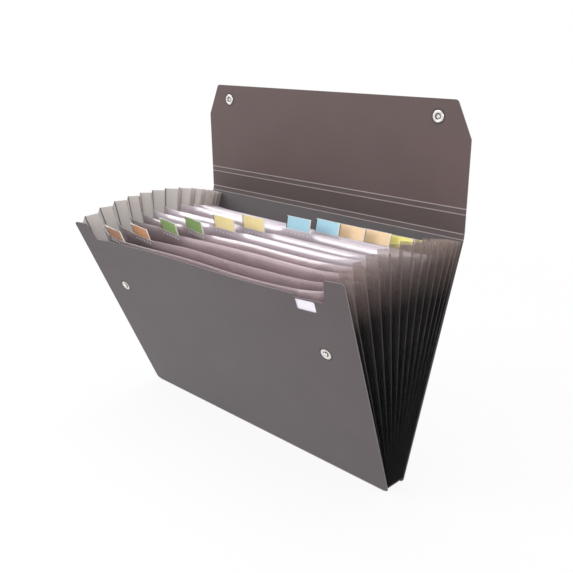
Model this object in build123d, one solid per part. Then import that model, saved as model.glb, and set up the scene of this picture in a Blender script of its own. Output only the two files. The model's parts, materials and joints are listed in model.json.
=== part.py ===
from build123d import *
import math
import os

# Expanding file folder with thirteen pockets, in millimetres.
# X runs along the width, the front faces -Y, Z is up, and the origin is the
# middle of the underside of the base panel. The folder stands fanned open
# with its flap up, tipped a little forward so that it balances on its base.

# Sizes that drive the cover
width = 330.0            # of the cover
sheet = 0.8              # thickness of the cover sheet
base_depth = 22.0        # between the two base hinge axes
front_lean = 23.5        # degrees forward of upright when fanned
back_lean = 16.5         # degrees backward of upright when fanned
flap_lean = 3.5          # degrees forward, of the spine and the raised flap
back_height = 222.6      # hinge axis to the first score
ear_drop = 1.6           # top of the front ears below the first score
strip = 5.0              # between the two scores of a pair
latch_gap = 1.6          # closed flap to front panel
flap_length = 91.0       # last score to the free edge
flap_shoulder = 59.2     # last score to where the flap's corners are cut
flap_cut = 15.0          # width of each cut corner
corner = 4.0             # rounding of the cover's corners

# Clearances
play = 0.3               # between pieces that move past each other
seat = 0.03              # between a divider's edge and the fold it is welded to

# Front edge details
ear = 17.5               # width of an ear at its top
ear_foot = 21.5          # width of an ear at its foot
ear_rise = 18.5          # ears above the edge between them
notch_width = 29.0       # thumb notch beside the right ear
notch_depth = 3.0
window_width = 19.0      # slot under the notch
window_height = 10.5
window_corner = 1.5      # rounding of the slot's corners
window_bridge = 1.2      # material left between the slot and the notch
window_margin = 4.0      # label card beyond the slot's edges
card = 0.3               # thickness of the label card

# Pockets
pockets = 13
rear_crowding = 0.5      # how much closer the rear pockets sit, 0 for even
leaf = 0.3               # thickness of a divider
headroom = 18.0          # dividers below the first score
pleat_rise = 16.9        # pleats above the dividers
pleat_foot = 4.0         # height at which the pleats start
pleat_inset = 11.0       # outer fold to inner fold along X
film = 0.2               # thickness of the gusset film

# Index tabs
tab_start = 37.0         # divider's left end to the first tab's middle
tab_end = 23.2           # last tab's middle to the divider's right end
tab_width = 30.0
tab_height = 13.5
tab_lap = 6.0            # how far a sleeve reaches down its divider
sleeve_wall = 0.2
sleeve_side = 0.6        # sleeve beyond each end of its insert

# Press studs
snap_inset = 33.0        # in from each end of the flap
socket_edge = 15.0       # up from the flap's free edge
rivet_radius = 1.5       # shanks through the sheet
stud_flange = 5.0        # radius
stud_flange_t = 0.4
stud_post = 2.0          # radius
stud_post_top = 1.4      # above the front panel's face
ring_radius = 5.5
ring_t = 0.8
ring_bore = 2.5          # radius
cap_radius = 5.5
cap_t = 0.7
back_disc = 4.5          # radius of the disc behind each stud
back_disc_t = 0.5

# Sizes that follow
half = width / 2
half_depth = base_depth / 2
half_sheet = sheet / 2
front_height = back_height - ear_drop
front_edge = front_height - ear_rise
# the closed flap lies ahead of the front panel, so the spine spans the base,
# one sheet and the latch gap once its two strips are folded to 45 degrees
spine = base_depth + sheet + latch_gap - 2 * strip * math.sin(math.radians(45))
socket_height = flap_length - socket_edge
snap_height = back_height - socket_height
snap_x = half - snap_inset
base_width = width - 2 * corner
leaf_half = half - pleat_inset
leaf_height = back_height - headroom
pleat_top = leaf_height + pleat_rise
pleat_levels = [pleat_foot, 18.0, 45.0, 100.0, pleat_top + 6]
tab_first = tab_start - leaf_half
tab_pitch = (2 * leaf_half - tab_start - tab_end) / (pockets - 2)
leaf_pitch = base_depth / pockets
leaf_pivot_z = sheet + play + leaf / 2
hinge_z = half_sheet


def lean_of(k):
    # lean of boundary k, front panel 0 to back panel 13, backward positive
    s = k / pockets
    share = s + rear_crowding * s * (1 - s) * (1 + s**2)
    return share * (front_lean + back_lean) - front_lean


def pivot_of(k):
    return -half_depth + k * leaf_pitch


def upright(face, thickness):
    # a sheet drawn in XZ, its thickness centred on Y = 0
    return extrude(Plane.XZ * face, amount=thickness / 2, both=True)


def outline(points, radii):
    # a closed outline with its own rounding at each corner
    face = make_face(Polyline(*points, close=True))
    for point, radius in zip(points, radii):
        if radius:
            near = face.vertices().sort_by_distance((point[0], point[1], 0))[0]
            face = fillet(near, radius)
    return face


def rod(radius, length):
    return Rot(0, 90, 0) * Cylinder(radius, length)


def bead(length, v):
    # round edge of a sheet, centred on its hinge axis
    return Pos(0, 0, v) * rod(half_sheet, length)


def cove(v):
    # hollow edge that turns about a bead
    return Pos(0, 0, v) * rod(half_sheet + play, width + 10)


def stand(shape, y, z, lean):
    return Pos(0, y, z) * Rot(-lean, 0, 0) * shape


def across(shape, x, v):
    # a turned piece on a sheet: its axis along -Y, at x and v on the sheet
    return Pos(x, 0, v) * Rot(90, 0, 0) * shape


# Base panel, with a round edge for each of its two hinges
base_panel = Pos(0, 0, hinge_z) * Box(base_width, base_depth, sheet)
for y in (-half_depth, half_depth):
    base_panel += Pos(0, y, hinge_z) * rod(half_sheet, base_width)

# Front panel: ears, thumb notch, slot and two rivet holes
notch_right = half - ear_foot
notch_left = notch_right - notch_width
notch_v = front_edge - notch_depth
front_points = [
    (-half, 0),
    (half, 0),
    (half, front_height),
    (half - ear, front_height),
    (notch_right, notch_v),
    (notch_left, notch_v),
    (notch_left, front_edge),
    (-half + ear_foot, front_edge),
    (-half + ear, front_height),
    (-half, front_height),
]
front_radii = [corner, corner, 3, 2, 3, 1, 1, 2, 2, 3]
front_panel = upright(outline(front_points, front_radii), sheet) - cove(0)
window_x = notch_left + window_width / 2
window_v = notch_v - window_bridge - window_height / 2
window = Box(window_width, 2 * sheet, window_height)
window = fillet(window.edges().filter_by(Axis.Y), window_corner)
front_panel -= Pos(window_x, 0, window_v) * window
for x in (-snap_x, snap_x):
    front_panel -= across(Cylinder(rivet_radius, 2 * sheet), x, snap_height)

# Label card on the inside of the front panel, behind the slot
label_card = Pos(window_x, half_sheet + card / 2, window_v - window_margin / 2) * Box(
    window_width + 2 * window_margin, card, window_height + window_margin)

# Press studs on the front panel, and the discs that hold them from inside
studs = []
discs = []
for x in (-snap_x, snap_x):
    shank = Pos(0, 0, -half_sheet) * Cylinder(
        rivet_radius, sheet, align=(Align.CENTER, Align.CENTER, Align.MIN))
    flange = Pos(0, 0, half_sheet) * Cylinder(
        stud_flange, stud_flange_t, align=(Align.CENTER, Align.CENTER, Align.MIN))
    flange = chamfer(flange.edges().sort_by(Axis.Z)[-1], stud_flange_t / 2)
    post = Pos(0, 0, half_sheet) * Cylinder(
        stud_post, stud_post_top, align=(Align.CENTER, Align.CENTER, Align.MIN))
    post = chamfer(post.edges().sort_by(Axis.Z)[-1], 0.4)
    studs.append(across(shank + flange + post, x, snap_height))
    disc = Pos(0, 0, -half_sheet) * Cylinder(
        back_disc, back_disc_t, align=(Align.CENTER, Align.CENTER, Align.MAX))
    disc = chamfer(disc.edges().sort_by(Axis.Z)[0], back_disc_t / 2)
    discs.append(across(disc, x, snap_height))

# Back panel
back_points = [(-half, 0), (half, 0), (half, back_height), (-half, back_height)]
back_panel = upright(outline(back_points, [corner, corner, 0, 0]), sheet)
back_panel = back_panel - cove(0) - cove(back_height)

# Spine between two narrow strips, each strip with two round edges
strip_panel = Pos(0, 0, strip / 2) * Box(width, sheet, strip)
strip_panel = strip_panel + bead(width, 0) + bead(width, strip)
spine_panel = Pos(0, 0, spine / 2) * Box(width, sheet, spine) - cove(0) - cove(spine)

# Flap with cut corners and two rivet holes
flap_points = [
    (-half, 0),
    (half, 0),
    (half, flap_shoulder),
    (half - flap_cut, flap_length),
    (-half + flap_cut, flap_length),
    (-half, flap_shoulder),
]
flap = upright(outline(flap_points, [0, 0, 2, corner, corner, 2]), sheet) - cove(0)
for x in (-snap_x, snap_x):
    flap -= across(Cylinder(rivet_radius, 2 * sheet), x, socket_height)

# Snap sockets inside the flap, and the riveted caps outside it
sockets = []
caps = []
for x in (-snap_x, snap_x):
    ring = Pos(0, 0, half_sheet) * (
        Cylinder(ring_radius, ring_t, align=(Align.CENTER, Align.CENTER, Align.MIN))
        - Cylinder(ring_bore, ring_t, align=(Align.CENTER, Align.CENTER, Align.MIN)))
    ring = chamfer(ring.edges().sort_by(Axis.Z)[-2:], 0.3)
    sockets.append(across(ring, x, socket_height))
    cap = Pos(0, 0, -half_sheet) * Cylinder(
        cap_radius, cap_t, align=(Align.CENTER, Align.CENTER, Align.MAX))
    cap = chamfer(cap.edges().sort_by(Axis.Z)[0], 0.35)
    shank = Cylinder(rivet_radius, sheet)
    caps.append(across(cap + shank, x, socket_height))

# Divider, tab sleeve and tab insert; the sleeve straddles the divider's edge
leaf_points = [
    (-leaf_half, 0), (leaf_half, 0), (leaf_half, leaf_height), (-leaf_half, leaf_height)]
divider = upright(outline(leaf_points, [0, 0, corner, corner]), leaf)
divider += rod(leaf / 2, 2 * leaf_half)
sleeve_low = leaf_height - tab_lap
sleeve_high = leaf_height + tab_height + sleeve_wall
sleeve = Pos(0, 0, (sleeve_low + sleeve_high) / 2) * Box(
    tab_width + 2 * sleeve_side, leaf + 2 * sleeve_wall, sleeve_high - sleeve_low)
sleeve -= Pos(0, 0, (sleeve_low + leaf_height + tab_height) / 2) * Box(
    2 * tab_width, leaf, leaf_height + tab_height - sleeve_low)
insert = Pos(0, 0, leaf_height + tab_height / 2) * Box(tab_width, leaf, tab_height)


# Gusset: one pleated film per side, welded to the front and back panels and
# folded in at every divider's edge
def reach(run):
    # how far a fold's tip stands out beyond the middle line of the film
    tip = 0
    for _ in range(8):
        tip = film / 2 / math.sin(math.atan2(run, pleat_inset - 2 * tip))
    return tip


def fold_lines(z):
    # middle line of the film at height z, from the front panel to the back
    inner = []
    for k in range(pockets + 1):
        lean = math.radians(lean_of(k))
        if k in (0, pockets):
            lap = (half_sheet + film / 2) / math.cos(lean)
            y = pivot_of(k) + (z - hinge_z) * math.tan(lean)
            inner.append(y + lap if k == 0 else y - lap)
        else:
            inner.append(pivot_of(k) + (z - leaf_pivot_z) * math.tan(lean))
    runs = [0]
    for k in range(pockets):
        runs.append((inner[k + 1] - inner[k]) / 2)
    runs.append(0)
    points = [(half - 1, inner[0])]
    for k in range(pockets):
        points.append((leaf_half + seat + reach((runs[k] + runs[k + 1]) / 2), inner[k]))
        points.append((half - reach(runs[k + 1]), inner[k] + runs[k + 1]))
    points.append((leaf_half + seat + reach(runs[pockets] / 2), inner[pockets]))
    points.append((half - 1, inner[pockets]))
    return points


def beside(points, gap):
    # the line drawn at a distance to one side, with sharp corners
    moved = []
    for i in range(len(points)):
        before = points[max(i - 1, 0)]
        here = points[i]
        after = points[min(i + 1, len(points) - 1)]
        if i == 0:
            before = (2 * here[0] - after[0], 2 * here[1] - after[1])
        if i == len(points) - 1:
            after = (2 * here[0] - before[0], 2 * here[1] - before[1])
        a = Vector(here[0] - before[0], here[1] - before[1]).normalized()
        b = Vector(after[0] - here[0], after[1] - here[1]).normalized()
        side = Vector(-a.Y, a.X) + Vector(-b.Y, b.X)
        side = side * (gap * 2 / side.length**2)
        moved.append((here[0] + side.X, here[1] + side.Y))
    return moved


def film_sides(z):
    # the film's two faces at height z, as points from the front to the back
    middle = fold_lines(z)
    outside = [Vector(x, y, z) for x, y in beside(middle, film / 2)]
    inside = [Vector(x, y, z) for x, y in beside(middle, -film / 2)]
    return outside, inside


def flat_pair(a, b, c, d):
    # a panel twists a little, so it is made of two flat triangles
    return [Face(Wire.make_polygon(corners)) for corners in ((a, b, c), (a, c, d))]


film_faces = []
levels = [film_sides(z) for z in pleat_levels]
for (out_low, in_low), (out_high, in_high) in zip(levels, levels[1:]):
    for i in range(len(out_low) - 1):
        film_faces += flat_pair(out_low[i], out_low[i + 1], out_high[i + 1], out_high[i])
        film_faces += flat_pair(in_low[i], in_low[i + 1], in_high[i + 1], in_high[i])
    for i in (0, -1):
        film_faces += flat_pair(out_low[i], in_low[i], in_high[i], out_high[i])
for outside, inside in (levels[0], levels[-1]):
    film_faces.append(Face(Wire.make_polygon(outside + inside[::-1])))
right_gusset = Solid(Shell(film_faces))
# the pleats' tops follow a fan, straight across each pocket
roof_points = [(-width, 0)]
for lean in [-90.0] + [lean_of(k) for k in range(pockets + 1)] + [90.0]:
    turn = math.radians(lean)
    roof_points.append((pleat_top * math.sin(turn), pleat_top * math.cos(turn)))
roof_points.append((width, 0))
roof = extrude(Plane.YZ * make_face(Polyline(*roof_points, close=True)), amount=width)
right_gusset = right_gusset & roof
left_gusset = mirror(right_gusset, about=Plane.YZ)

# Where each cover piece stands when fanned open: the lower strip is halfway
# between the back panel and the spine, and the upper strip is flat
strip_lean = (back_lean - flap_lean) / 2


def along(start, length, lean):
    turn = math.radians(lean)
    return (start[0] + length * math.sin(turn), start[1] + length * math.cos(turn))


score1 = along((half_depth, hinge_z), back_height, back_lean)
score2 = along(score1, strip, strip_lean)
score3 = along(score2, spine, -flap_lean)
score4 = along(score3, strip, -flap_lean)

nodes = {
    "base_panel": base_panel,
    "front_panel": stand(front_panel, -half_depth, hinge_z, -front_lean),
    "front_label_card": stand(label_card, -half_depth, hinge_z, -front_lean),
    "front_snap_studs": stand(Compound(studs), -half_depth, hinge_z, -front_lean),
    "front_snap_discs": stand(Compound(discs), -half_depth, hinge_z, -front_lean),
    "back_panel": stand(back_panel, half_depth, hinge_z, back_lean),
    "lower_hinge_strip": stand(strip_panel, *score1, strip_lean),
    "flap_spine": stand(spine_panel, *score2, -flap_lean),
    "upper_hinge_strip": stand(strip_panel, *score3, -flap_lean),
    "flap": stand(flap, *score4, -flap_lean),
    "flap_snap_sockets": stand(Compound(sockets), *score4, -flap_lean),
    "flap_snap_caps": stand(Compound(caps), *score4, -flap_lean),
    "left_gusset": left_gusset,
    "right_gusset": right_gusset,
}
for k in range(1, pockets):
    x = tab_first + (k - 1) * tab_pitch
    spot = (pivot_of(k), leaf_pivot_z, lean_of(k))
    nodes[f"divider_{k:02d}"] = stand(divider, *spot)
    nodes[f"tab_sleeve_{k:02d}"] = stand(Pos(x, 0, 0) * sleeve, *spot)
    nodes[f"tab_insert_{k:02d}"] = stand(Pos(x, 0, 0) * insert, *spot)

os.makedirs("parts", exist_ok=True)
for name, shape in nodes.items():
    export_step(shape, f"parts/{name}.step")
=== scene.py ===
import bpy
import json
import math
from mathutils import Matrix, Vector


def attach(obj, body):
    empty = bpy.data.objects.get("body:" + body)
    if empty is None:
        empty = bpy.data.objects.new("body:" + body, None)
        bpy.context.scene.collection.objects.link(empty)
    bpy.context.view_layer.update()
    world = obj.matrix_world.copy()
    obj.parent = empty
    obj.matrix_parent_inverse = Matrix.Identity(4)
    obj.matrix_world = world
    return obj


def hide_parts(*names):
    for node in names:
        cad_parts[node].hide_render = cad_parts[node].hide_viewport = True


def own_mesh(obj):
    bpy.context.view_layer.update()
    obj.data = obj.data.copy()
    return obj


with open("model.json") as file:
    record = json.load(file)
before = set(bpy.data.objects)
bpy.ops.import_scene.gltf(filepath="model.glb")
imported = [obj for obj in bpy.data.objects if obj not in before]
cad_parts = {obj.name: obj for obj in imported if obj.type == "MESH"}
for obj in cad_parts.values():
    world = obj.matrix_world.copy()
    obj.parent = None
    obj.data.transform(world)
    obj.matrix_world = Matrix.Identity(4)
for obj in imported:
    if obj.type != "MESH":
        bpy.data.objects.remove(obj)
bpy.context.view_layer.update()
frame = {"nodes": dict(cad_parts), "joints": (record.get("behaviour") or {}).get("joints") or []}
mm = 0.001
joints = {joint["name"]: joint for joint in frame["joints"]}


# ways of working that every piece shares

def deselectAll():
    if bpy.context.mode != "OBJECT":
        bpy.ops.object.mode_set(mode="OBJECT")
    bpy.ops.object.select_all(action="DESELECT")


def pick(piece):
    deselectAll()
    piece.select_set(True)
    bpy.context.view_layer.objects.active = piece


def applyModifier(piece, kind, **settings):
    pick(piece)
    modifier = piece.modifiers.new(kind.lower(), kind)
    for name, value in settings.items():
        setattr(modifier, name, value)
    bpy.ops.object.modifier_apply(modifier=modifier.name)


def smoothByAngle(piece, degrees=35):
    pick(piece)
    bpy.ops.object.shade_smooth_by_angle(angle=math.radians(degrees))


def joinInto(piece, others):
    deselectAll()
    for other in others:
        other.select_set(True)
    piece.select_set(True)
    bpy.context.view_layer.objects.active = piece
    bpy.ops.object.join()


# a flat grid whose across and up run from -1 to 1, each point then put in place
def gridPiece(name, columns, rows, place):
    deselectAll()
    bpy.ops.mesh.primitive_grid_add(x_subdivisions=columns, y_subdivisions=rows, size=2)
    piece = bpy.context.active_object
    piece.name = name
    piece.data.name = name
    for vertex in piece.data.vertices:
        vertex.co = place(vertex.co.x, vertex.co.y)
    return piece


def copyOfNode(node, name):
    piece = bpy.data.objects.new(name, frame["nodes"][node].data.copy())
    bpy.context.scene.collection.objects.link(piece)
    pick(piece)
    bpy.ops.object.mode_set(mode="EDIT")
    bpy.ops.mesh.select_all(action="SELECT")
    bpy.ops.mesh.remove_doubles(threshold=0.01 * mm)
    bpy.ops.mesh.dissolve_limited(angle_limit=math.radians(2))
    bpy.ops.object.mode_set(mode="OBJECT")
    piece.data.materials.clear()
    return piece


# the walls of the pockets: front panel, dividers, back panel

leafCount = 12
lastWall = leafCount + 1


def restLean(joint):
    low, high = joint["range_deg"]
    return math.radians(low if abs(low) > abs(high) else high)


def wallFrom(body, foot, lean):
    return {"body": body, "foot": Vector(foot), "lean": lean}


walls = [wallFrom("front", joints["fan_close"]["pos_m"], -restLean(joints["fan_close"]))]
for number in range(1, lastWall):
    swing = joints[f"leaf_{number:02d}_swing"]
    walls.append(wallFrom(f"leaf_{number:02d}", swing["pos_m"], restLean(swing)))
walls.append(wallFrom("back", joints["back_close"]["pos_m"], restLean(joints["back_close"])))
flapFoot = Vector(joints["flap_fold"]["pos_m"])
flapRun = flapFoot - Vector(joints["upper_score"]["pos_m"])
flapWall = wallFrom("flap", flapFoot, math.atan2(flapRun.y, flapRun.z))


def wallUp(wall):
    return Vector((0, math.sin(wall["lean"]), math.cos(wall["lean"])))


def wallNormal(wall):
    return Vector((0, math.cos(wall["lean"]), -math.sin(wall["lean"])))  # points to the back


def wallPoint(wall, x, rise, off=0.0):
    return wall["foot"] + Vector((x, 0, 0)) + wallUp(wall) * rise + wallNormal(wall) * off


# how far the thin sheets give way as the folder stands open

flex = {
    "halfWidth": 154 * mm,
    "height": 204.6 * mm,
    "endPower": 8,  # the bow holds on almost to the welded ends
    "liftPower": 1.25,  # and grows towards the top
    "shifts": [-15.2, -17.4, -17.5, -20.9, -19.7, -18.1, 4, 7, 4.4, 3.6, 1.7, 0.2],  # mm, forward negative
    "leftShifts": [-0.5, -1.5, -2.3, -4, -6.5, -7, -4.5, 0.5, 4, 7, 4, 1],  # mm, at the left ends alone
    "ripple": 0.5,  # mm
    "rippleWaves": 2.6,
    "rippleStep": 1.7,  # from one sheet to the next
    "curls": [1, 1.6, 2.6, 3.2, 3.4, 3.4, 2.6, 2.6, 2.6, 2.6, 2, 0.7],  # mm, back again along the top edge
    "curlZone": 7 * mm,
    "curlEnd": 0.96,  # of the half width, short of the welds
    "firstTab": -117 * mm,
    "tabPitch": 22.53 * mm,
    "tabHalf": 16 * mm,
    "tabFade": 10 * mm,
    "tabTurns": [0.07, 0.13, 0.2, 0.18, 0.07, 0, 0, 0, 0, 0, 0, 0],  # slope of the sheet along its own tab
    "turnReach": 38 * mm,
    "drops": [1.6, 2.6, 1, 0.5, 0, 0, 0.8, 0.3, 1.2, 1.6, 2.4, 2.8],  # mm, the top edges that sag
    "frontTwist": 10 * mm,  # left corner forward, right corner back
    "twistPower": 2.4,
    "twistFade": 7,  # sheets behind the front that follow it, less and less
    "frontHalf": 165 * mm,
    "frontHeight": 221 * mm,
}


def tabMiddle(number):
    return flex["firstTab"] + (number - 1) * flex["tabPitch"]


# 0 along a sheet's own tab, which keeps its top edge straight, and 1 well to its side
def awayFromTab(number, x):
    gap = (abs(x - tabMiddle(number)) - flex["tabHalf"]) / flex["tabFade"]
    gap = max(0.0, min(1.0, gap))
    return gap * gap * (3 - 2 * gap)


# 0 in the middle of a sheet and 1 at its ends
def endShare(x):
    return min(1.0, abs(x) / flex["halfWidth"])


def flexAt(number, x, rise):
    if number == 0:
        reach = math.copysign(abs(x / flex["frontHalf"]) ** flex["twistPower"], x)
        return flex["frontTwist"] * reach * rise / flex["frontHeight"]
    if number == lastWall:
        return 0.0
    share = endShare(x)
    lift = max(0.0, rise / flex["height"])
    free = (1 - share ** flex["endPower"]) * lift ** flex["liftPower"]
    bow = flex["shifts"][number - 1] * free
    if x < 0:
        bow += flex["leftShifts"][number - 1] * share ** 2 * lift
    beside = (x - tabMiddle(number)) / flex["turnReach"]
    turn = flex["tabTurns"][number - 1] * flex["turnReach"] * beside * math.exp(-beside ** 2)
    bow -= turn / mm * free
    below = max(0.0, flex["height"] - rise)
    curl = flex["curls"][number - 1] * max(0.0, 1 - below / flex["curlZone"]) ** 2
    curl *= max(0.0, 1 - (share / flex["curlEnd"]) ** flex["endPower"]) * awayFromTab(number, x)
    phase = flex["rippleWaves"] * math.pi * x / flex["halfWidth"] + flex["rippleStep"] * number
    wave = flex["ripple"] * math.sin(phase) * (1 - share ** 2) * lift ** 2
    follow = max(0.0, 1 - number / flex["twistFade"])
    return mm * (bow + curl + wave) + follow * flexAt(0, x, rise)


def sagAt(number, x, rise):
    if number in (0, lastWall):
        return 0.0
    free = 1 - endShare(x) ** flex["endPower"]
    return mm * flex["drops"][number - 1] * free * max(0.0, rise / flex["height"]) ** 2


def sheetPoint(number, x, rise, off=0.0):
    return wallPoint(walls[number], x, rise - sagAt(number, x, rise), flexAt(number, x, rise) + off)


def rideOnWall(piece, number):
    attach(piece, walls[number]["body"])
    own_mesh(piece)


def twistWithFront(piece):
    for vertex in piece.data.vertices:
        rise = (vertex.co - walls[0]["foot"]).dot(wallUp(walls[0]))
        vertex.co += wallNormal(walls[0]) * flexAt(0, vertex.co.x, rise)


# materials

def newMaterial(name):
    material = bpy.data.materials.new(name)
    material.use_nodes = True
    tree = material.node_tree
    return material, tree, tree.nodes["Principled BSDF"]


def addNode(tree, kind, inputs=None, **settings):
    node = tree.nodes.new(kind)
    for name, value in settings.items():
        setattr(node, name, value)
    for name, value in (inputs or {}).items():
        node.inputs[name].default_value = value
    return node


def noiseOf(tree, scale, detail=2.0, stretch=(1, 1, 1)):
    place = addNode(tree, "ShaderNodeTexCoord")
    turn = addNode(tree, "ShaderNodeMapping", {"Scale": stretch})
    noise = addNode(tree, "ShaderNodeTexNoise", {"Scale": scale, "Detail": detail})
    tree.links.new(place.outputs["Object"], turn.inputs["Vector"])
    tree.links.new(turn.outputs["Vector"], noise.inputs["Vector"])
    return noise.outputs["Fac"]


def rampOf(tree, source, stops):
    ramp = addNode(tree, "ShaderNodeValToRGB")
    elements = ramp.color_ramp.elements
    elements[0].position, elements[0].color = stops[0]
    elements[1].position, elements[1].color = stops[-1]
    for position, color in stops[1:-1]:
        elements.new(position).color = color
    tree.links.new(source, ramp.inputs["Fac"])
    return ramp.outputs["Color"]


def rangeOf(tree, source, low, high, start=0.0, end=1.0):
    spread = addNode(tree, "ShaderNodeMapRange",
                     {"From Min": start, "From Max": end, "To Min": low, "To Max": high})
    tree.links.new(source, spread.inputs["Value"])
    return spread.outputs["Result"]


def mathOf(tree, operation, first, second=None):
    step = addNode(tree, "ShaderNodeMath", operation=operation)
    tree.links.new(first, step.inputs[0])
    if isinstance(second, bpy.types.NodeSocket):
        tree.links.new(second, step.inputs[1])
    elif second is not None:
        step.inputs[1].default_value = second
    return step.outputs["Value"]


def multiplied(tree, first, second):
    blend = addNode(tree, "ShaderNodeMix", data_type="RGBA", blend_type="MULTIPLY")
    blend.inputs["Factor"].default_value = 1.0
    tree.links.new(first, blend.inputs[6])
    tree.links.new(second, blend.inputs[7])
    return blend.outputs[2]


def bumpOf(tree, shader, source, strength, distance, under=None):
    bump = addNode(tree, "ShaderNodeBump", {"Strength": strength, "Distance": distance})
    tree.links.new(source, bump.inputs["Height"])
    if under:
        tree.links.new(under.outputs["Normal"], bump.inputs["Normal"])
    tree.links.new(bump.outputs["Normal"], shader.inputs["Normal"])
    return bump


def shade(tone, factor=1.0):
    linear = []
    for value in tone:
        share = value / 255
        linear.append(factor * (share / 12.92 if share <= 0.04045 else ((share + 0.055) / 1.055) ** 2.4))
    return (*linear, 1)


def mottled(tree, shader, noise, tone, spread):
    stops = [(0.3, shade(tone, 1 - spread)), (0.7, shade(tone, 1 + spread))]
    tree.links.new(rampOf(tree, noise, stops), shader.inputs["Base Color"])


def roughened(tree, shader, noise, roughness, spread):
    rough = rangeOf(tree, noise, roughness - spread, roughness + spread)
    tree.links.new(rough, shader.inputs["Roughness"])


def coverPlastic(name, tone, roughness=0.5):
    material, tree, shader = newMaterial(name)
    mottled(tree, shader, noiseOf(tree, scale=26, detail=3), tone, spread=0.04)
    grain = noiseOf(tree, scale=1500)
    roughened(tree, shader, grain, roughness, spread=0.08)
    bumpOf(tree, shader, grain, strength=0.25, distance=0.12 * mm)
    shader.inputs["IOR"].default_value = 1.4
    return material


# how far along and up a sheet, from its own UV map
def sheetUv(tree):
    place = addNode(tree, "ShaderNodeTexCoord")
    split = addNode(tree, "ShaderNodeSeparateXYZ")
    tree.links.new(place.outputs["UV"], split.inputs["Vector"])
    return split.outputs["X"], split.outputs["Y"]


# a sheet that lets part of the light straight through and scatters part of it
def smokyFilm(name, tonesWithPaintedShade, clear, roughness, gloss, sheen):
    material, tree, shader = newMaterial(name)
    along, up = sheetUv(tree)
    # painted shade and highlight: the colour darker low down and paler towards the top edge, by the height
    # on the sheet
    tone = rampOf(tree, up, [(height, shade(value)) for height, value in tonesWithPaintedShade])
    clouds = noiseOf(tree, scale=18, stretch=(1, 1, 0.35))
    cloudy = rampOf(tree, clouds, [(0.3, (0.94, 0.94, 0.94, 1)), (0.7, (1, 1, 1, 1))])
    tree.links.new(multiplied(tree, tone, cloudy), shader.inputs["Base Color"])
    shader.inputs["Transmission Weight"].default_value = clear
    shader.inputs["IOR"].default_value = 1.12
    shader.inputs["Coat Weight"].default_value = gloss
    shader.inputs["Coat Roughness"].default_value = sheen
    shader.inputs["Coat IOR"].default_value = 1.7
    grain = noiseOf(tree, scale=700)
    roughened(tree, shader, grain, roughness, spread=0.05)
    return {"material": material, "tree": tree, "shader": shader, "grain": grain, "along": along, "up": up}


# film whose cover goes from low to high towards its top
def gussetFilm(name, tonesWithPaintedShade, low, high):
    film = smokyFilm(name, tonesWithPaintedShade, clear=0.1, roughness=0.35, gloss=0.15, sheen=0.2)
    cover = rangeOf(film["tree"], film["up"], low, high, start=0.62, end=0.92)
    film["tree"].links.new(cover, film["shader"].inputs["Alpha"])
    bumpOf(film["tree"], film["shader"], film["grain"], strength=0.12, distance=0.1 * mm)
    return film["material"]


# pressed folds of the film, darker low down and paler towards the open top: painted shade, as on the film
def foldEdge(name, tonesWithPaintedShade):
    film = smokyFilm(name, tonesWithPaintedShade, clear=0.1, roughness=0.35, gloss=0.1, sheen=0.2)
    film["shader"].inputs["Alpha"].default_value = 0.85
    bumpOf(film["tree"], film["shader"], film["grain"], strength=0.12, distance=0.1 * mm)
    return film["material"]


# smoky sheet, the first few with a band of fine pressed ribs under the top edge
def dividerPlastic(name, tonesWithPaintedShade, ribbed):
    film = smokyFilm(name, tonesWithPaintedShade, clear=0.45, roughness=0.3, gloss=1.0, sheen=0.06)
    tree, shader, along = film["tree"], film["shader"], film["along"]
    shader.inputs["Alpha"].default_value = 0.78
    fine = bumpOf(tree, shader, film["grain"], strength=0.05, distance=0.1 * mm)
    if not ribbed:
        return film["material"]
    wave = mathOf(tree, "SINE", mathOf(tree, "MULTIPLY", along, 900.0))
    dark, light = (0, 0, 0, 1), (1, 1, 1, 1)
    band = rampOf(tree, film["up"], [(0.862, dark), (0.87, light), (0.935, light), (0.943, dark)])
    # the ribs show in patches, and more to the right
    blotches = noiseOf(tree, scale=40, detail=1, stretch=(1, 0.3, 0.3))
    patches = mathOf(tree, "MULTIPLY", rangeOf(tree, along, 0.15, 1.0, start=0.4, end=0.7),
                     rangeOf(tree, blotches, 0.1, 1.0, start=0.42, end=0.58))
    ribs = mathOf(tree, "MULTIPLY", mathOf(tree, "MULTIPLY", wave, band), patches)
    bumpOf(tree, shader, ribs, strength=0.7, distance=0.5 * mm, under=fine)
    # painted shade: darker at the left ends, where the sheets stand in shadow, and darker stripes along the
    # ribs
    ribAndEndShade = mathOf(tree, "MULTIPLY", rangeOf(tree, ribs, 1.0, 0.7),
                   rangeOf(tree, along, 0.5, 1.0, start=0.06, end=0.42))
    plain = shader.inputs["Base Color"].links[0].from_socket
    tree.links.new(multiplied(tree, plain, ribAndEndShade), shader.inputs["Base Color"])
    return film["material"]


# cut edges and weld spots, where the plastic turns pale
def paleEdge(name, tone, clear):
    material, tree, shader = newMaterial(name)
    mottled(tree, shader, noiseOf(tree, scale=300), tone, spread=0.08)
    shader.inputs["Transmission Weight"].default_value = clear
    shader.inputs["IOR"].default_value = 1.2
    shader.inputs["Roughness"].default_value = 0.3
    return material


def clearSleeve(name, tone, cover):
    material, tree, shader = newMaterial(name)
    scuff = noiseOf(tree, scale=220, detail=3)
    mottled(tree, shader, scuff, tone, spread=0.05)
    roughened(tree, shader, scuff, roughness=0.13, spread=0.07)
    tree.links.new(rangeOf(tree, scuff, cover - 0.02, cover + 0.02), shader.inputs["Alpha"])
    return material


def tabPaper(name, tone):
    material, tree, shader = newMaterial(name)
    fibre = noiseOf(tree, scale=900, detail=4, stretch=(1, 1, 3))
    mottled(tree, shader, fibre, tone, spread=0.07)
    shader.inputs["Roughness"].default_value = 0.75
    bumpOf(tree, shader, fibre, strength=0.2, distance=0.1 * mm)
    return material


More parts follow.
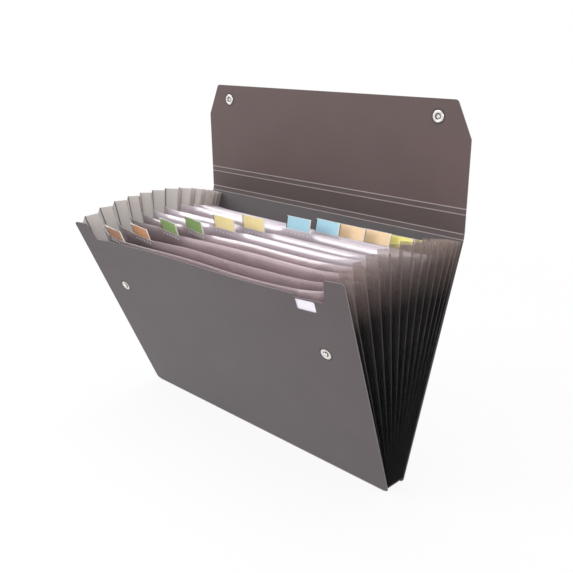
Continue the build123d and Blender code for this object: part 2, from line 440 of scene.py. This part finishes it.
def snapMetal(name, tone, roughness):
    material, tree, shader = newMaterial(name)
    wear = noiseOf(tree, scale=600, detail=3)
    mottled(tree, shader, wear, tone, spread=0.1)
    shader.inputs["Metallic"].default_value = 1.0
    roughened(tree, shader, wear, roughness, spread=0.06)
    return material


# painted shade: the film dark low down and pale at the open top; the inside tones are a paler, lit copy of
# the same film
filmTonesWithPaintedShade = {
    "outside": [(0.45, (30, 30, 31)), (0.76, (40, 37, 37)),
                (0.9, (114, 100, 96)), (1.0, (174, 155, 147))],
    "inside": [(0.45, (40, 39, 39)), (0.66, (60, 57, 56)),
               (0.83, (182, 171, 165)), (1.0, (200, 189, 183))],
    "fold": [(0.4, (44, 45, 47)), (0.8, (70, 67, 67)), (1.0, (136, 126, 122))],
}
# one plastic in two lights: the front sheets darker (painted shade), the rear ones paler (painted light),
# each darker low down and paler at the top edge (painted shade and highlight)
dividerTonesWithPaintedShade = {
    "front": [(0.55, (136, 119, 120)), (0.8, (190, 168, 172)),
              (0.93, (222, 203, 208)), (1.0, (230, 214, 219))],
    "rear": [(0.55, (160, 145, 148)), (0.8, (208, 193, 199)),
             (0.93, (238, 228, 236)), (1.0, (243, 235, 241))],
}
finishes = {
    "cover": coverPlastic("coverOutside", (86, 79, 81)),
    "cutEdge": coverPlastic("coverCutEdge", (122, 114, 115), 0.42),
    # painted shade: a darker ring of cover plastic round each press stud
    "dimple": coverPlastic("coverDimpleShade", (70, 63, 64), 0.55),
    "crease": coverPlastic("coverCrease", (156, 146, 144), 0.4),
    "film": gussetFilm("gussetFilm", filmTonesWithPaintedShade["outside"], 0.62, 0.22),
    "filmLitInside": gussetFilm("gussetFilmLitInside", filmTonesWithPaintedShade["inside"], 0.62, 0.8),
    "filmFold": foldEdge("gussetFold", filmTonesWithPaintedShade["fold"]),
    "divider": dividerPlastic("dividerPlastic", dividerTonesWithPaintedShade["rear"], False),
    "ribbedShadedDivider": dividerPlastic("ribbedShadedDivider", dividerTonesWithPaintedShade["front"], True),
    "dividerEdge": paleEdge("dividerEdge", (238, 230, 234), 0.2),
    "weld": paleEdge("weldSpot", (245, 243, 245), 0.1),
    "sleeve": clearSleeve("clearSleeve", (243, 243, 245), 0.04),
    # painted light on the clear sleeve: a dark left side (painted shade) and a pale right side and folded
    # top (painted highlight)
    "sleeveShadedEdge": clearSleeve("sleeveShadedEdge", (92, 80, 78), 0.3),
    "sleeveHighlightRim": clearSleeve("sleeveHighlightRim", (252, 248, 244), 0.6),
    "snap": snapMetal("snapMetal", (224, 221, 216), 0.26),
    # darker metal for the hollows of the studs: painted shade
    "snapHollowShade": snapMetal("snapHollowShade", (104, 100, 96), 0.4),
    "label": tabPaper("labelPaper", (228, 224, 232)),
}
tabTones = {
    # shadedTan is the tan paper darkened: painted shade on the first tab
    "shadedTan": (136, 88, 51), "tan": (195, 140, 90), "green": (124, 158, 82),
    "straw": (248, 228, 162), "sky": (172, 220, 238), "peach": (254, 220, 174),
    "gold": (255, 242, 136),
}
tabPapers = {name: tabPaper(name + "Paper", tone) for name, tone in tabTones.items()}
print("materials ready:", len(bpy.data.materials))


# cover panels: the CAD outlines with softened edges and paler cut edges

coverPanels = {
    "softening": 0.16 * mm,
    "bodies": {
        "base_panel": "base", "front_panel": "front", "back_panel": "back",
        "lower_hinge_strip": "lower_strip", "flap_spine": "spine", "upper_hinge_strip": "upper_strip",
        "flap": "flap",
    },
    # painted light and shade: each panel's inside a little lighter, darker, warmer or cooler as light falls
    # on it, over the cover's own inside colour
    "insideTonesWithPaintedShade": {
        "base_panel": (84, 76, 77), "front_panel": (96, 84, 84), "back_panel": (80, 75, 77),
        "lower_hinge_strip": (86, 77, 77), "flap_spine": (85, 74, 73), "upper_hinge_strip": (90, 78, 77),
        "flap": (92, 77, 76),
    },
    "insideRoughness": 0.58,
    "twistColumns": 18,
    "twistRows": 12,
    "frontKeep": 0.08,
}


def sliceForTwist(piece):
    pick(piece)
    bpy.ops.object.mode_set(mode="EDIT")
    for column in range(1, coverPanels["twistColumns"]):
        x = flex["frontHalf"] * (2 * column / coverPanels["twistColumns"] - 1)
        bpy.ops.mesh.select_all(action="SELECT")
        bpy.ops.mesh.bisect(plane_co=(x, 0, 0), plane_no=(1, 0, 0))
    for row in range(1, coverPanels["twistRows"]):
        level = wallPoint(walls[0], 0, flex["frontHeight"] * row / coverPanels["twistRows"])
        bpy.ops.mesh.select_all(action="SELECT")
        bpy.ops.mesh.bisect(plane_co=level, plane_no=wallUp(walls[0]))
    bpy.ops.object.mode_set(mode="OBJECT")


def coverPanel(node, body):
    piece = copyOfNode(node, "cover_" + node)
    applyModifier(piece, "BEVEL", width=coverPanels["softening"], segments=2, limit_method="ANGLE",
                  angle_limit=math.radians(40))
    piece.data.materials.append(finishes["cover"])
    piece.data.materials.append(finishes["cutEdge"])
    # the inside faces take that panel's own copy, with its painted light and shade
    inside = coverPlastic("inside_" + node, coverPanels["insideTonesWithPaintedShade"][node], coverPanels["insideRoughness"])
    piece.data.materials.append(inside)
    broad = max(piece.data.polygons, key=lambda face: face.area).normal.copy()
    inward = 1 if node == "front_panel" else -1
    for face in piece.data.polygons:
        onSheet = abs(face.normal.dot(broad)) > 0.5
        face.material_index = 1 if not onSheet else 2 if face.normal.y * inward > 0 else 0
    if node == "front_panel":
        sliceForTwist(piece)
        twistWithFront(piece)
    pick(piece)
    bpy.ops.object.shade_flat()
    if node == "front_panel":
        rideOnWall(piece, 0)
    else:
        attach(piece, body)
    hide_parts(node)


for node, body in coverPanels["bodies"].items():
    coverPanel(node, body)


# the white card behind the slot
labelCard = copyOfNode("front_label_card", "labelCard")
twistWithFront(labelCard)
labelCard.data.materials.append(finishes["label"])
rideOnWall(labelCard, 0)
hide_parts("front_label_card")


# pressed creases that join the panels, round so that they look the same at every fold

creases = {
    "radius": 0.6 * mm,
    "sides": 20,
    "endRound": 0.25 * mm,
    "baseHalf": 160.8 * mm,
    "half": 164.7 * mm,
    "bodies": {
        "fan_close": "front", "back_close": "base", "lower_score": "lower_strip",
        "second_score": "lower_strip", "upper_score": "upper_strip", "flap_fold": "upper_strip",
    },
}


def creaseBead(joint, body):
    half = creases["baseHalf"] if joint in ("fan_close", "back_close") else creases["half"]
    deselectAll()
    bpy.ops.mesh.primitive_cylinder_add(vertices=creases["sides"], radius=creases["radius"],
                                        depth=2 * half, rotation=(0, math.pi / 2, 0),
                                        location=joints[joint]["pos_m"])
    piece = bpy.context.active_object
    piece.name = "crease_" + joint
    bpy.ops.object.transform_apply(location=True, rotation=True, scale=True)
    for face in piece.data.polygons:
        face.select = abs(face.normal.x) > 0.9
    bpy.ops.object.mode_set(mode="EDIT")
    bpy.ops.mesh.select_mode(type="FACE")
    bpy.ops.mesh.bevel(offset=creases["endRound"], segments=2, affect="EDGES")
    bpy.ops.object.mode_set(mode="OBJECT")
    piece.data.materials.append(finishes["crease"])
    smoothByAngle(piece)
    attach(piece, body)


for joint, body in creases["bodies"].items():
    creaseBead(joint, body)


# dividers: thin sheets that bow between the gussets

dividerSheet = {
    "thickness": 0.3 * mm,
    "corner": 4 * mm,
    "columns": 80,
    "rows": 30,
    "endCrowding": 0.35,
    "topCrowding": 1.6,
    "keep": 0.05,
    "ribbed": 4,  # of the twelve, counted from the front; these also take the darker front colour, painted shade
}


def makeDivider(number):
    half, height, corner = flex["halfWidth"], flex["height"], dividerSheet["corner"]
    crowding = dividerSheet["endCrowding"]

    def place(across, up):  # points lie closer together near the ends and the top
        x = half * ((1 - crowding) * across + crowding * math.sin(across * math.pi / 2))
        rise = height * (1 - ((1 - up) / 2) ** dividerSheet["topCrowding"])
        into = abs(x) - (half - corner)
        if into > 0:
            rise *= 1 - (corner - math.sqrt(max(0.0, corner ** 2 - into ** 2))) / height
        return sheetPoint(number, x, rise)

    piece = gridPiece(f"dividerSheet_{number:02d}", dividerSheet["columns"], dividerSheet["rows"], place)
    piece.data.materials.append(finishes["ribbedShadedDivider" if number <= dividerSheet["ribbed"] else "divider"])
    piece.data.materials.append(finishes["dividerEdge"])
    applyModifier(piece, "SOLIDIFY", thickness=dividerSheet["thickness"], offset=0, material_offset_rim=1)
    smoothByAngle(piece, 40)
    rideOnWall(piece, number)
    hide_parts(f"divider_{number:02d}")


for number in range(1, lastWall):
    makeDivider(number)
print("dividers:", leafCount)


# index tabs: paper insert in a clear folded sleeve, spot-welded to its divider

indexTab = {
    "width": 27.6 * mm,
    "height": 12 * mm,
    "lap": 6 * mm,
    "paper": 0.26 * mm,
    "paperRise": 0.2 * mm,
    # the first tab takes shadedTan, the tan paper with painted shade
    "papers": ["shadedTan", "tan", "green", "green", "straw", "straw",
               "sky", "sky", "peach", "peach", "gold", "gold"],
    "sleeveGap": 0.26 * mm,
    "sleeveSide": 1.2 * mm,
    "sleeveTop": 0.3 * mm,
    "sleeveWall": 0.14 * mm,
    "faceShare": 0.8,  # of the grid's columns; the outer ones are the narrow cut edges
    "foldShare": 0.12,  # of its rows, over the folded top
    "dots": 6,
    "dotRadius": 0.55 * mm,
    "dotFlatness": 0.5,
    "dotDrop": 0.6,  # of the lap
}


def makeTab(number):
    middle = tabMiddle(number)
    foot = flex["height"]
    paperHalf = indexTab["width"] / 2
    sleeveHalf = paperHalf + indexTab["sleeveSide"]
    run = indexTab["height"] + indexTab["lap"] + indexTab["sleeveTop"]
    gap = indexTab["sleeveGap"]

    def placePaper(across, up):
        rise = foot + indexTab["paperRise"] + indexTab["height"] * (up + 1) / 2
        return sheetPoint(number, middle + across * paperHalf, rise)

    def placeSleeve(across, up):  # up one face, over the folded top and down the other
        face, top = indexTab["faceShare"], indexTab["foldShare"]
        edge = max(0.0, abs(across) - face) / (1 - face)
        aside = abs(across) / face * paperHalf * (1 - edge) + edge * sleeveHalf
        fold = max(-1.0, min(1.0, up / top))
        rise = foot - indexTab["lap"] + run * min(1.0, (1 - abs(up)) / (1 - top)) + gap * (1 - abs(fold))
        off = gap * math.sin(fold * math.pi / 2)
        return sheetPoint(number, middle + math.copysign(aside, across), rise, off)

    paper = gridPiece(f"tabPaper_{number:02d}", 10, 4, placePaper)
    applyModifier(paper, "SOLIDIFY", thickness=indexTab["paper"], offset=0)
    paper.data.materials.append(tabPapers[indexTab["papers"][number - 1]])
    smoothByAngle(paper)
    rideOnWall(paper, number)
    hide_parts(f"tab_insert_{number:02d}")

    sleeve = gridPiece(f"tabSleeve_{number:02d}", 10, 34, placeSleeve)
    applyModifier(sleeve, "SOLIDIFY", thickness=indexTab["sleeveWall"], offset=0)
    dots = []
    for index in range(indexTab["dots"]):
        x = middle + sleeveHalf * (2 * (index + 0.5) / indexTab["dots"] - 1)
        spot = sheetPoint(number, x, foot - indexTab["dotDrop"] * indexTab["lap"], -gap)
        deselectAll()
        bpy.ops.mesh.primitive_uv_sphere_add(segments=10, ring_count=6, radius=indexTab["dotRadius"],
                                             location=spot)
        dot = bpy.context.active_object
        dot.scale = (1, indexTab["dotFlatness"], 1)
        dot.data.materials.append(finishes["weld"])
        dots.append(dot)
    for finish in ("sleeve", "sleeveShadedEdge", "sleeveHighlightRim"):
        sleeve.data.materials.append(finishes[finish])
    edgeFoot = sheetPoint(number, middle, foot).z
    foldFoot = sheetPoint(number, middle, foot + indexTab["height"]).z
    # painted highlight on the folded top and right side of each sleeve, painted shade on its left side
    for face in sleeve.data.polygons:
        aside = face.center.x - middle
        if face.center.z > foldFoot or aside > paperHalf and face.center.z > edgeFoot:
            face.material_index = 2
        elif aside < -paperHalf and face.center.z > edgeFoot:
            face.material_index = 1
    joinInto(sleeve, dots)
    smoothByAngle(sleeve)
    rideOnWall(sleeve, number)
    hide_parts(f"tab_sleeve_{number:02d}")


for number in range(1, lastWall):
    makeTab(number)
print("index tabs:", leafCount)


# gussets: one folded film a pocket and side, welded to the walls before and behind it

gussetPleat = {
    "foot": 4 * mm,
    "top": 220.4 * mm,
    "inner": 154.4 * mm,
    "outer": 164.6 * mm,
    "weld": 5 * mm,
    "thickness": 0.24 * mm,
    "bulge": 0.5 * mm,
    "besideSheet": 0.3 * mm,
    "besideCover": 0.56 * mm,
    "turn": 0.07,  # share of a run that each bend takes
    "rows": 16,
    "foldLine": 0.7 * mm,
    "keep": 0.06,
}


# along a bent line of several runs, t from 0 to the number of runs, with rounded bends
def roundedPath(points, t):
    turn = gussetPleat["turn"]
    bend = round(t)
    if 0 < bend < len(points) - 1 and abs(t - bend) < turn:
        before = points[bend].lerp(points[bend - 1], turn)
        after = points[bend].lerp(points[bend + 1], turn)
        q = (t - bend + turn) / (2 * turn)
        return before * (1 - q) ** 2 + points[bend] * (2 * q * (1 - q)) + after * q ** 2
    start = min(int(t), len(points) - 2)
    return points[start].lerp(points[start + 1], t - start)


# where the grid's columns lie along that line, closer together at the bends
def pleatSteps():
    turn = gussetPleat["turn"]
    steps = [0, 0.5, 0.8]
    for bend in (1, 2, 3):
        steps += [bend - turn, bend - turn / 2, bend, bend + turn / 2, bend + turn]
        if bend < 3:
            steps += [bend + 0.2, bend + 0.4, bend + 0.6, bend + 0.8]
    return steps + [3.2, 3.5, 4]


def makePleat(number, side, name, node):
    inner, outer = side * gussetPleat["inner"], side * gussetPleat["outer"]
    flange = side * (gussetPleat["inner"] - gussetPleat["weld"])
    frontOff = gussetPleat["besideCover"] if number == 1 else gussetPleat["besideSheet"]
    backOff = -gussetPleat["besideCover"] if number == lastWall else -gussetPleat["besideSheet"]
    steps = pleatSteps()

    def place(across, up):
        rise = gussetPleat["foot"] + (gussetPleat["top"] - gussetPleat["foot"]) * (up + 1) / 2
        t = steps[round((across + 1) / 2 * (len(steps) - 1))]
        front = sheetPoint(number - 1, inner, rise, frontOff)
        back = sheetPoint(number, inner, rise, backOff)
        fold = (front + back) / 2
        fold.x = outer
        frontWeld = sheetPoint(number - 1, flange, rise, frontOff)
        backWeld = sheetPoint(number, flange, rise, backOff)
        spot = roundedPath([frontWeld, front, fold, back, backWeld], t)
        if 1 < t < 3:
            spot.x -= side * gussetPleat["bulge"] * math.sin((t - 1) * math.pi) ** 2 * (up + 1) / 2
        return spot

    piece = gridPiece(name, len(steps) - 1, gussetPleat["rows"], place)
    for finish in ("film", "filmFold", "filmLitInside"):
        piece.data.materials.append(finishes[finish])
    count = len(piece.data.polygons)
    applyModifier(piece, "SOLIDIFY", thickness=gussetPleat["thickness"], offset=0)
    # the left grid's own faces look into the pocket and take the paler, lit copy of the film: painted light
    inside = range(count) if side < 0 else ()
    for face in piece.data.polygons:
        folded = abs(face.center.x) > gussetPleat["outer"] - gussetPleat["foldLine"]
        face.material_index = 1 if folded or face.index >= 2 * count else 2 if face.index in inside else 0
    smoothByAngle(piece, 50)
    rideOnWall(piece, number)
    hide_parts(node)


for number in range(1, lastWall + 1):
    makePleat(number, -1, f"leftPleat_{number:02d}", "left_gusset")
    makePleat(number, 1, f"rightPleat_{number:02d}", "right_gusset")
print("gusset pleats:", 2 * lastWall)


# press studs, turned from their profiles, radius and height in mm

pressStud = {
    "across": 132 * mm,
    "upFront": 146.6 * mm,
    "upFlap": 76 * mm,
    "face": 0.4 * mm,
    "steps": 40,
    "shadedHollows": {"snapStuds": [(0, 0.9), (2.15, 2.9)], "snapSockets": [(1.75, 2.95)],
                "snapDiscs": [], "snapCaps": []},  # radii between which the metal is darker and duller: painted shade in the hollows
    "dimple": [(1.5, -0.05), (1.4, 0.09), (0.2, 0.1)],  # past the piece's own radius; a shallow ring in the darker cover tone, painted shade round the stud
    "stud": [(5, 0), (5, 0.15), (4.8, 0.32), (4.4, 0.42), (3.9, 0.42), (3.3, 0.36), (2.7, 0.22), (2.4, 0.24),
             (2.2, 0.45), (2.1, 0.9), (2, 1.2), (1.75, 1.36), (1.3, 1.42), (0, 1.44)],
    "disc": [(4.5, 0), (4.5, 0.22), (4.35, 0.4), (4, 0.5), (2.2, 0.46), (1.6, 0.36), (0, 0.34)],
    "socket": [(5.5, 0), (5.5, 0.3), (5.35, 0.58), (5, 0.76), (4.5, 0.82), (3.9, 0.78), (3.3, 0.62),
               (2.9, 0.56), (2.6, 0.44), (2.5, 0.2), (2.45, 0.05), (1.7, 0.06), (1.3, 0.12), (0, 0.1)],
    "cap": [(5.5, 0), (5.5, 0.25), (5.35, 0.48), (5, 0.64), (4.4, 0.7), (2, 0.66), (1.4, 0.58), (0, 0.56)],
}


def turnedPiece(name, profile, wall, x, rise, side):
    mesh = bpy.data.meshes.new(name)
    outer = profile[0][0]
    dimple = [(outer + past, height) for past, height in pressStud["dimple"]]
    points = [(radius * mm, 0, height * mm) for radius, height in dimple + profile]
    mesh.from_pydata(points, [(index, index + 1) for index in range(len(points) - 1)], [])
    piece = bpy.data.objects.new(name, mesh)
    bpy.context.scene.collection.objects.link(piece)
    pick(piece)
    bpy.ops.object.mode_set(mode="EDIT")
    bpy.ops.mesh.select_all(action="SELECT")
    bpy.ops.mesh.spin(steps=pressStud["steps"], angle=2 * math.pi, center=(0, 0, 0), axis=(0, 0, 1))
    bpy.ops.mesh.select_all(action="SELECT")
    bpy.ops.mesh.remove_doubles(threshold=0.002 * mm)
    bpy.ops.mesh.normals_make_consistent(inside=False)
    bpy.ops.object.mode_set(mode="OBJECT")
    for finish in ("snap", "snapHollowShade", "dimple"):
        mesh.materials.append(finishes[finish])
    for face in mesh.polygons:
        radius = max(mesh.vertices[index].co.xy.length for index in face.vertices) / mm
        if radius > outer + 0.01:
            face.material_index = 2
        elif any(low < radius <= high for low, high in pressStud["shadedHollows"][name]):
            face.material_index = 1
    outward = wallNormal(wall) * side
    right = Vector((1, 0, 0))
    turn = Matrix((right, outward.cross(right), outward)).transposed().to_4x4()
    mesh.transform(Matrix.Translation(wallPoint(wall, x, rise, side * pressStud["face"])) @ turn)
    return piece


def turnedPair(name, profile, wall, rise, side, node):
    piece, other = [turnedPiece(name, profile, wall, x, rise, side)
                    for x in (-pressStud["across"], pressStud["across"])]
    joinInto(piece, [other])
    smoothByAngle(piece, 40)
    if wall is walls[0]:
        twistWithFront(piece)
        rideOnWall(piece, 0)
    else:
        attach(piece, wall["body"])
    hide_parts(node)


turnedPair("snapStuds", pressStud["stud"], walls[0], pressStud["upFront"], -1, "front_snap_studs")
turnedPair("snapDiscs", pressStud["disc"], walls[0], pressStud["upFront"], 1, "front_snap_discs")
turnedPair("snapSockets", pressStud["socket"], flapWall, pressStud["upFlap"], -1, "flap_snap_sockets")
turnedPair("snapCaps", pressStud["cap"], flapWall, pressStud["upFlap"], 1, "flap_snap_caps")
print("press studs: 4 pairs")


# floor, light and camera

studio = {
    "floorSize": 30.0,
    "floorDrop": 0.5 * mm,
    "floorGlow": 0.88,
    "shadowReach": (0.4, 1.1),
    "ambient": 0.55,
    "lamps": {
        "keyLight": {"at": (-2.25, -2.28, 1.66), "wide": 1.95, "tall": 1.4, "power": 52},
        "topLight": {"at": (-0.2, 0.1, 1.6), "wide": 1.2, "tall": 1.2, "power": 8},
        "fillLight": {"at": (1.9, -1.7, 1.0), "wide": 1.2, "tall": 1.0, "power": 28},
        "sideLight": {"at": (-1.9, 0.25, 0.6), "wide": 0.5, "tall": 0.6, "power": 5},
    },
    "aim": (0, 0, 0.15),
    "cameraAt": (0.46655, -0.47466, 0.35503),
    "cameraTurn": (72.761, -1.739, 43.449),
    "lens": 44.889,
}


# 1 for what the camera sees itself, in a mirror or through the film
def seenDirectly(tree):
    ray = addNode(tree, "ShaderNodeLightPath")
    total = ray.outputs["Is Camera Ray"]
    for name in ("Is Glossy Ray", "Is Transmission Ray"):
        total = mathOf(tree, "MAXIMUM", total, ray.outputs[name])
    return total


def makeFloor():
    deselectAll()
    bpy.ops.mesh.primitive_plane_add(size=studio["floorSize"], location=(0, 0, -studio["floorDrop"]))
    floor = bpy.context.active_object
    floor.name = "studioFloor"
    material, tree, shader = newMaterial("studioFloor")
    shader.inputs["Base Color"].default_value = (0.92, 0.92, 0.92, 1)
    shader.inputs["Roughness"].default_value = 0.9
    glow = addNode(tree, "ShaderNodeEmission", {"Color": (1, 1, 1, 1), "Strength": 1.0})
    mix = addNode(tree, "ShaderNodeMixShader")
    place = addNode(tree, "ShaderNodeTexCoord")
    away = addNode(tree, "ShaderNodeVectorMath", operation="LENGTH")
    tree.links.new(place.outputs["Object"], away.inputs[0])
    near, far = studio["shadowReach"]
    paler = rangeOf(tree, away.outputs["Value"], studio["floorGlow"], 1.0, start=near, end=far)
    tree.links.new(mathOf(tree, "MULTIPLY", paler, seenDirectly(tree)), mix.inputs["Fac"])
    tree.links.new(shader.outputs["BSDF"], mix.inputs[1])
    tree.links.new(glow.outputs["Emission"], mix.inputs[2])
    tree.links.new(mix.outputs["Shader"], tree.nodes["Material Output"].inputs["Surface"])
    floor.data.materials.append(material)


def makeWorld():
    world = bpy.data.worlds.new("studioWorld")
    bpy.context.scene.world = world
    world.use_nodes = True
    tree = world.node_tree
    sky = tree.nodes["Background"]
    sky.inputs["Color"].default_value = (1, 1, 1, 1)
    tree.links.new(rangeOf(tree, seenDirectly(tree), studio["ambient"], 1.0), sky.inputs["Strength"])


def softLight(name, lamp):
    light = bpy.data.lights.new(name, "AREA")
    light.shape = "RECTANGLE"
    light.size = lamp["wide"]
    light.size_y = lamp["tall"]
    light.energy = lamp["power"]
    holder = bpy.data.objects.new(name, light)
    holder.location = lamp["at"]
    holder.rotation_euler = (Vector(studio["aim"]) - Vector(lamp["at"])).to_track_quat("-Z", "Y").to_euler()
    bpy.context.scene.collection.objects.link(holder)


def makeCamera():
    camera = bpy.data.objects.new("photoCamera", bpy.data.cameras.new("photoCamera"))
    camera.data.sensor_width = 36
    camera.data.lens = studio["lens"]
    camera.data.clip_start = 0.01
    camera.location = studio["cameraAt"]
    camera.rotation_euler = [math.radians(angle) for angle in studio["cameraTurn"]]
    bpy.context.scene.collection.objects.link(camera)
    bpy.context.scene.camera = camera


makeFloor()
makeWorld()
for name, lamp in studio["lamps"].items():
    softLight(name, lamp)
makeCamera()
bpy.context.scene.view_settings.view_transform = "Standard"
